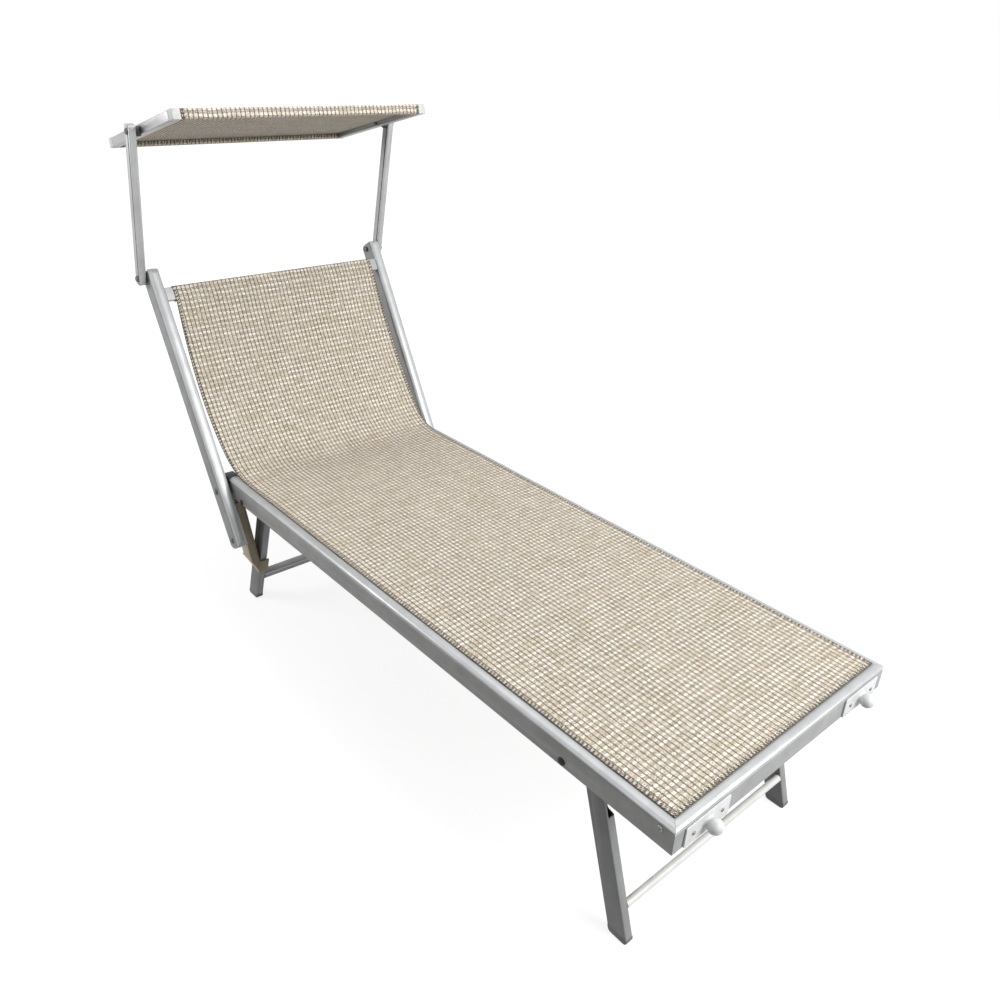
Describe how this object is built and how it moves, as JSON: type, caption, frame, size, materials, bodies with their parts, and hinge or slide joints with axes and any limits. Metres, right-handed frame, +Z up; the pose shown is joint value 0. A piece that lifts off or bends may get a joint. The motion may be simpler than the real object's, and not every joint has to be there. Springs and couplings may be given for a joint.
{
  "type": "sun lounger",
  "caption": "Low aluminium lounger with a woven sling seat, a reclining sling back and a tilting woven sun canopy on swinging arms; its legs fold away under the seat.",
  "frame": {"origin": "on the ground, under the middle of the whole lounger's bounding box", "axes": "+Z up, +Y from the foot end to the head end, +X towards the sitter's left with X = 0 on the plane of symmetry"},
  "size_m": [0.7064, 1.846, 1.2257],
  "materials": {
    "aluminium": "mill finish, satin",
    "painted_tube": "white powder coat",
    "white_plastic": "moulded, satin",
    "black_plastic": "moulded, satin",
    "grey_plastic": "moulded, matte",
    "beige_plastic": "moulded, matte",
    "zinc_steel": "zinc plated",
    "weave": "open weave of coated yarn, cream and taupe"
  },
  "bodies": {
    "frame": {"rail_left": "aluminium", "rail_right": "aluminium", "foot_rail": "aluminium", "seat_sling": "weave", "corner_key_left": "grey_plastic", "corner_key_right": "grey_plastic", "hinge_block_left": "black_plastic", "hinge_block_right": "black_plastic", "hook_left": "white_plastic", "hook_right": "white_plastic", "stay_bracket_left": "white_plastic", "stay_bracket_right": "white_plastic", "leg_bolt_front_left": "zinc_steel", "leg_bolt_front_right": "zinc_steel", "leg_bolt_rear_left": "zinc_steel", "leg_bolt_rear_right": "zinc_steel", "leg_spacer_front_left": "white_plastic", "leg_spacer_front_right": "white_plastic", "leg_spacer_rear_left": "white_plastic", "leg_spacer_rear_right": "white_plastic"},
    "front_legs": {"front_crossbar": "painted_tube", "front_leg_left": "aluminium", "front_leg_right": "aluminium", "front_foot_left": "grey_plastic", "front_foot_right": "grey_plastic"},
    "rear_legs": {"rear_crossbar": "aluminium", "rear_leg_left": "aluminium", "rear_leg_right": "aluminium", "rear_foot_left": "grey_plastic", "rear_foot_right": "grey_plastic", "stay_left": "beige_plastic", "stay_right": "beige_plastic"},
    "backrest": {"top_bar": "aluminium", "back_sling": "weave", "sling_bend": "weave", "upright_left": "aluminium", "upright_right": "aluminium", "back_pivot_bolt_left": "zinc_steel", "back_pivot_bolt_right": "zinc_steel", "stop_pin_left": "zinc_steel", "stop_pin_right": "zinc_steel"},
    "canopy_arms": {"arm_left": "aluminium", "arm_right": "aluminium", "arm_bolt_left": "zinc_steel", "arm_bolt_right": "zinc_steel", "arm_spacer_left": "black_plastic", "arm_spacer_right": "black_plastic"},
    "canopy": {"canopy_bar_front": "aluminium", "canopy_bar_back": "aluminium", "canopy_fabric": "weave", "canopy_rail_left": "aluminium", "canopy_rail_right": "aluminium", "canopy_cap_front_left": "white_plastic", "canopy_cap_front_right": "white_plastic", "canopy_cap_back_left": "white_plastic", "canopy_cap_back_right": "white_plastic", "canopy_bolt_left": "zinc_steel", "canopy_bolt_right": "zinc_steel", "canopy_spacer_left": "black_plastic", "canopy_spacer_right": "black_plastic"}
  },
  "joints": [
    {"name": "backrest_recline", "type": "hinge", "parent": "frame", "child": "backrest", "pos_m": [0, 0.52268, 0.3562], "axis": [1, 0, 0], "range_deg": [-51.3, 86], "deforming": ["sling_bend"]},
    {"name": "canopy_arms_swing", "type": "hinge", "parent": "backrest", "child": "canopy_arms", "pos_m": [0, 0.78627, 0.82978], "axis": [-1, 0, 0], "range_deg": [-60, 175]},
    {"name": "canopy_tilt", "type": "hinge", "parent": "canopy_arms", "child": "canopy", "pos_m": [0, 0.71496, 1.16529], "axis": [-1, 0, 0], "range_deg": [-60, 63]},
    {"name": "front_legs_fold", "type": "hinge", "parent": "frame", "child": "front_legs", "pos_m": [0, -0.66572, 0.351], "axis": [1, 0, 0], "range_deg": [0, 107.3]},
    {"name": "rear_legs_fold", "type": "hinge", "parent": "frame", "child": "rear_legs", "pos_m": [0, 0.44628, 0.349], "axis": [-1, 0, 0], "range_deg": [0, 98]}
  ]
}
